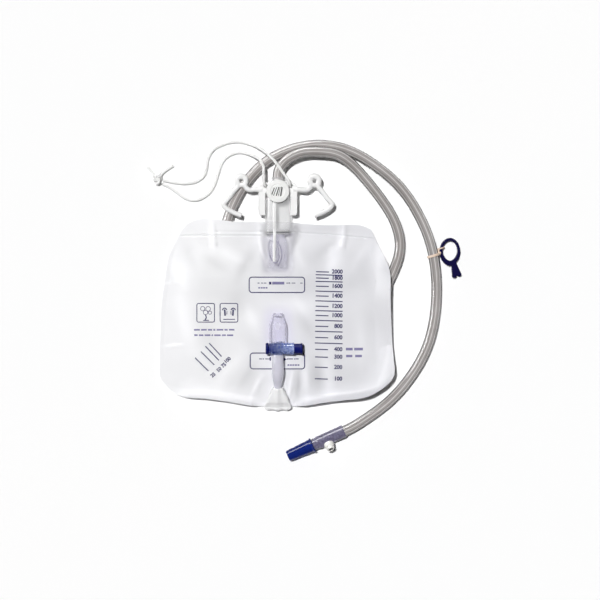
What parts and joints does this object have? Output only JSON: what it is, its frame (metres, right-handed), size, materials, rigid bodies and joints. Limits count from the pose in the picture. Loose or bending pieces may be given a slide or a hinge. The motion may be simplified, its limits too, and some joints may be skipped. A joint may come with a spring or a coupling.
{
  "type": "urine drainage bag",
  "caption": "Flat two-film urine drainage bag with spring-hook hanger, drip chamber, folded-up drain tap, and long coiled tube with capped catheter connector, sampling port and sheet clip.",
  "frame": {"origin": "on the floor under the middle of the bag and its hanger, without the tube and cords", "axes": "+Y from the drain end towards the hanger, +Z out of the printed front film, +X to the scale's side"},
  "size_m": [0.3299, 0.3358, 0.0316],
  "materials": {
    "white_film": "satin",
    "clear_film": "glossy",
    "white_moulding": "satin",
    "clear_chamber": "glossy",
    "lilac_sleeve": "satin",
    "vent_plastic": "satin",
    "filter_membrane": "matt",
    "clear_tap": "glossy",
    "blue_plastic": "glossy",
    "black_rubber": "matt",
    "clear_spout": "glossy",
    "clear_outlet": "glossy",
    "neck_film": "satin",
    "tube_pvc": "glossy",
    "lilac_connector": "glossy",
    "port_white": "glossy",
    "septum_rubber": "matt",
    "cap_blue": "glossy",
    "clip_navy": "satin",
    "band_rubber": "matt",
    "white_cord": "matt"
  },
  "bodies": {
    "bag": {"bag_back_film": "white_film", "bag_front_film": "clear_film", "hanger": "white_moulding", "drip_chamber": "clear_chamber", "chamber_base": "clear_chamber", "anti_reflux_valve": "lilac_sleeve", "vent_cap": "vent_plastic", "vent_filter": "filter_membrane", "tap_body": "clear_tap", "drain_spout": "clear_spout", "outlet_tube": "clear_outlet", "outlet_neck": "neck_film", "drainage_tube": "tube_pvc", "catheter_connector": "lilac_connector", "sampling_port": "port_white", "port_septum": "septum_rubber", "sheet_clip": "clip_navy", "rubber_band": "band_rubber", "cord_strand_right": "white_cord", "cord_strand_left": "white_cord", "cord_knot": "white_cord"},
    "tap_stem": {"tap_stem": "blue_plastic", "stem_end_cap": "blue_plastic", "stem_seal_1": "black_rubber", "stem_seal_2": "black_rubber"},
    "cap": {"protective_cap": "cap_blue"}
  },
  "joints": [
    {"name": "tap_slide", "type": "slide", "parent": "bag", "child": "tap_stem", "axis": [-1, 0, 0], "range_m": [0, 0.0068]},
    {"name": "cap_pull", "type": "slide", "parent": "bag", "child": "cap", "axis": [-0.9128, -0.4083, 0], "range_m": [0, 0.03]}
  ]
}
